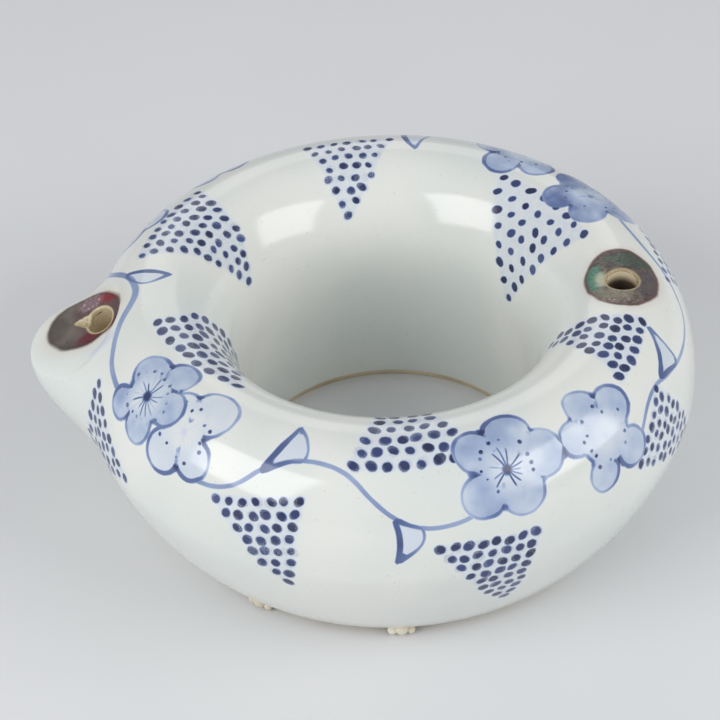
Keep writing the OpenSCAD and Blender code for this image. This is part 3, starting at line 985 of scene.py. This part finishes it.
# %% [markdown]
# The glaze is clear and a little green over a grey-white body, with a few iron specks. Under
# it lies all the painting, so one material mixes body, ink and copper by the distances that
# the skin keeps. It is glossy, with a slow swell in its surface and a rougher skin on copper.

# %% The painted glaze
INK_STOPS = [(0.0, tint(226, 229, 226)), (0.12, tint(203, 212, 224)), (0.28, tint(163, 179, 207)),
             (0.5, tint(100, 119, 164)), (0.75, tint(58, 69, 114)), (1.0, tint(34, 37, 66))]
GLAZE_IOR = 1.55

def glaze_finish(name):
    bench = Bench(name)
    where = bench.place()
    fine, rough = bench.noise(where, 900.0, 3.0, 0.6), bench.noise(where, 260.0)
    slow, streak = bench.noise(where, 30.0), bench.noise(where, 120.0)
    front, covered = blossom_ink(bench, "front_blossom", rough, streak)
    behind, _ = blossom_ink(bench, "back_blossom", rough, streak)
    lower = behind.most(stem_ink(bench, rough, streak)).most(leaf_ink(bench, rough, streak))
    ink = front.most(lower.most(wedge_ink(bench, fine)) * (1.0 - covered))
    inked = bench.node("ShaderNodeValToRGB", {"stops": INK_STOPS}, {"Fac": ink}).out("Color")
    specks = bench.noise(where, 1500.0, 1.0).fade(0.71, 0.76)
    bubbles = blisters(bench, where)
    vent_colour, vent_on, vent_halo = vent_colours(bench, where, rough, fine, bubbles)
    facet_colour, facet_on, facet_halo = facet_colours(bench, where, rough, fine, bubbles)
    x, y = bench.measure(where, FACET_AT, FACET_X, FACET_Y)
    painted = bench.layers(
        bench.mix(tint(228, 229, 223), tint(217, 222, 218), slow.fade(0.35, 0.65)),
        (tint(196, 190, 172), specks * 0.35),
        (inked, ink.fade(0.0, 0.1)),
        (tint(196, 198, 222), blob(x, y, (1.6, -8.4), (2.8, 1.2), rough, 0.6) * 0.7),
        (tint(208, 196, 182), vent_halo.most(facet_halo) * 0.5),
        (vent_colour, vent_on),
        (facet_colour, facet_on))
    copper = vent_on.most(facet_on)
    height = slow * 0.8 + rough * 0.12 + copper * (bubbles * 0.5 + fine)
    return bench.finish(Base_Color=painted, Roughness=0.13 + 0.14 * copper,
                        Normal=bench.bump(0.08, 0.0006, height), IOR=GLAZE_IOR)

glaze = glaze_finish("painted_glaze")
skin.data.materials.append(glaze)
print("glaze painted with", len(glaze.node_tree.nodes), "nodes")

# %% [markdown]
# The two copper layers have the same colours as the glaze round them, so that no edge shows,
# but a stronger bump from the bubbles that burst in the kiln.

# %% The copper's own finish
def copper_finish(name, colours):
    bench = Bench(name)
    where = bench.place()
    fine, ragged = bench.noise(where, 900.0, 3.0, 0.6), bench.noise(where, 260.0)
    bubbles = blisters(bench, where)
    colour, _, _ = colours(bench, where, ragged, fine, bubbles)
    return bench.finish(Base_Color=colour, Roughness=0.18 + 0.2 * fine,
                        Normal=bench.bump(0.14, 0.0006, bubbles * 0.6 + fine), IOR=GLAZE_IOR)

vent_copper.data.materials.append(copper_finish("vent_copper", vent_colours))
spout_copper.data.materials.append(copper_finish("spout_copper", facet_colours))
print("copper on", vent_copper.name, "and", spout_copper.name)

# %% [markdown]
# Bare clay shows at the foot and inside the two holes: a sandy cream, patchy and fully matt.
# A noise at two sizes gives the patches and the grain. The vent's bore gets painted shade,
# darker deeper down, which only the upper half needs. The slip is finer clay, the grit coarser and paler.

# %% Clay
CLAY, CLAY_DARK = tint(222, 208, 178), tint(168, 140, 100)

def clay_finish(name, base, dark, scale, shade_the_bore=False):
    bench = Bench(name)
    where = bench.place()
    grain, patch = bench.noise(where, scale, 4.0, 0.65), bench.noise(where, 90.0)
    colour = bench.layers(base, (dark, patch.fade(0.35, 0.7) * 0.5), (dark, grain.fade(0.55, 0.75) * 0.4))
    if shade_the_bore:
        # Painted shade: the vent's bore is made darker deeper down.
        x, y, z = bench.measure(where, VENT_AT, VENT_X, VENT_Y, UP)
        bore_shade = span(x, y).fade(3.6, 2.9) * (z + patch * 1.4).fade(-0.4, -2.2) * 0.95
        colour = bench.mix(colour, tint(66, 52, 38), bore_shade)
    return bench.finish(Base_Color=colour, Roughness=0.75 + 0.15 * grain,
                        Normal=bench.bump(0.35, 0.0002, grain))

bare_clay = clay_finish("bare_clay", CLAY, CLAY_DARK, 2200.0)
vented_clay = clay_finish("vented_clay", CLAY, CLAY_DARK, 2200.0, shade_the_bore=True)
slip = clay_finish("fired_slip", tint(214, 200, 170), tint(160, 134, 98), 1500.0)
grit = clay_finish("kiln_grit", tint(238, 232, 216), tint(176, 158, 128), 2600.0)
special = {"kiln_grit": grit, "upper_half": vented_clay}
for name, node in nodes.items():
    node.data.materials.clear()
    node.data.materials.append(special.get(name, slip if "slip" in name else bare_clay))
spout_clay.data.materials.append(bare_clay)
print("clay finishes on", len(nodes), "nodes and the spout's clay")

# %% [markdown]
# The dropper stands on a plain pale floor. A faint mottle keeps it from looking like paper.

# %% The pale floor
bpy.ops.mesh.primitive_plane_add(size=6)
floor = bpy.context.object
floor.name = "floor"
floor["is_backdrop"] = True
bench = Bench("pale_floor")
mottle = bench.mix(tint(226, 227, 228), tint(220, 221, 223), bench.noise(bench.place(), 14.0, 3.0))
floor.data.materials.append(bench.finish(Base_Color=mottle, Roughness=0.85))
print("floor", round(floor.dimensions.x, 1), "m wide")

# %% [markdown]
# Glossy glaze shows its lamps as bright windows. The photographer had two square soft boxes,
# left and right of the camera, so two area lamps stand there, and a weak one behind lifts
# the far rim. A pale world fills the shadows. All is kept low, so that no white clips.

# %% Studio light
world = bpy.data.worlds.new("studio")
bpy.context.scene.world = world
world.use_nodes = True
sky = world.node_tree.nodes["Background"].inputs
sky["Color"].default_value = (0.95, 0.97, 1, 1)
sky["Strength"].default_value = 0.44

def soft_box(name, azimuth, elevation, away, size, watts):
    a, e = math.radians(azimuth), math.radians(elevation)
    level = away * math.cos(e)
    at = Vector((level * math.cos(a), level * math.sin(a), 0.03 + away * math.sin(e)))
    bpy.ops.object.light_add(type="AREA", location=at)
    lamp = bpy.context.object
    lamp.name = name
    lamp.data.shape = "RECTANGLE"
    lamp.data.size, lamp.data.size_y = size
    lamp.data.energy = watts
    lamp.rotation_euler = (Vector((0, 0, 0.02)) - at).to_track_quat("-Z", "Y").to_euler()
    print(name, [round(c, 2) for c in at])

soft_box("left_box", -145, 30, 0.75, (0.5, 0.5), 3.05)
soft_box("right_box", -25, 28, 0.75, (0.5, 0.5), 2.65)
soft_box("back_box", 92, 30, 0.8, (0.5, 0.3), 0.45)
bpy.context.scene.view_settings.view_transform = "Standard"

# %% [markdown]
# Last, the box of the solid model and that of the dressed one are put side by side.

# %% Sizes
({"solid": [list(map(float, c)) for c in solid_box],
           "scene": [list(map(float, c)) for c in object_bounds()]})
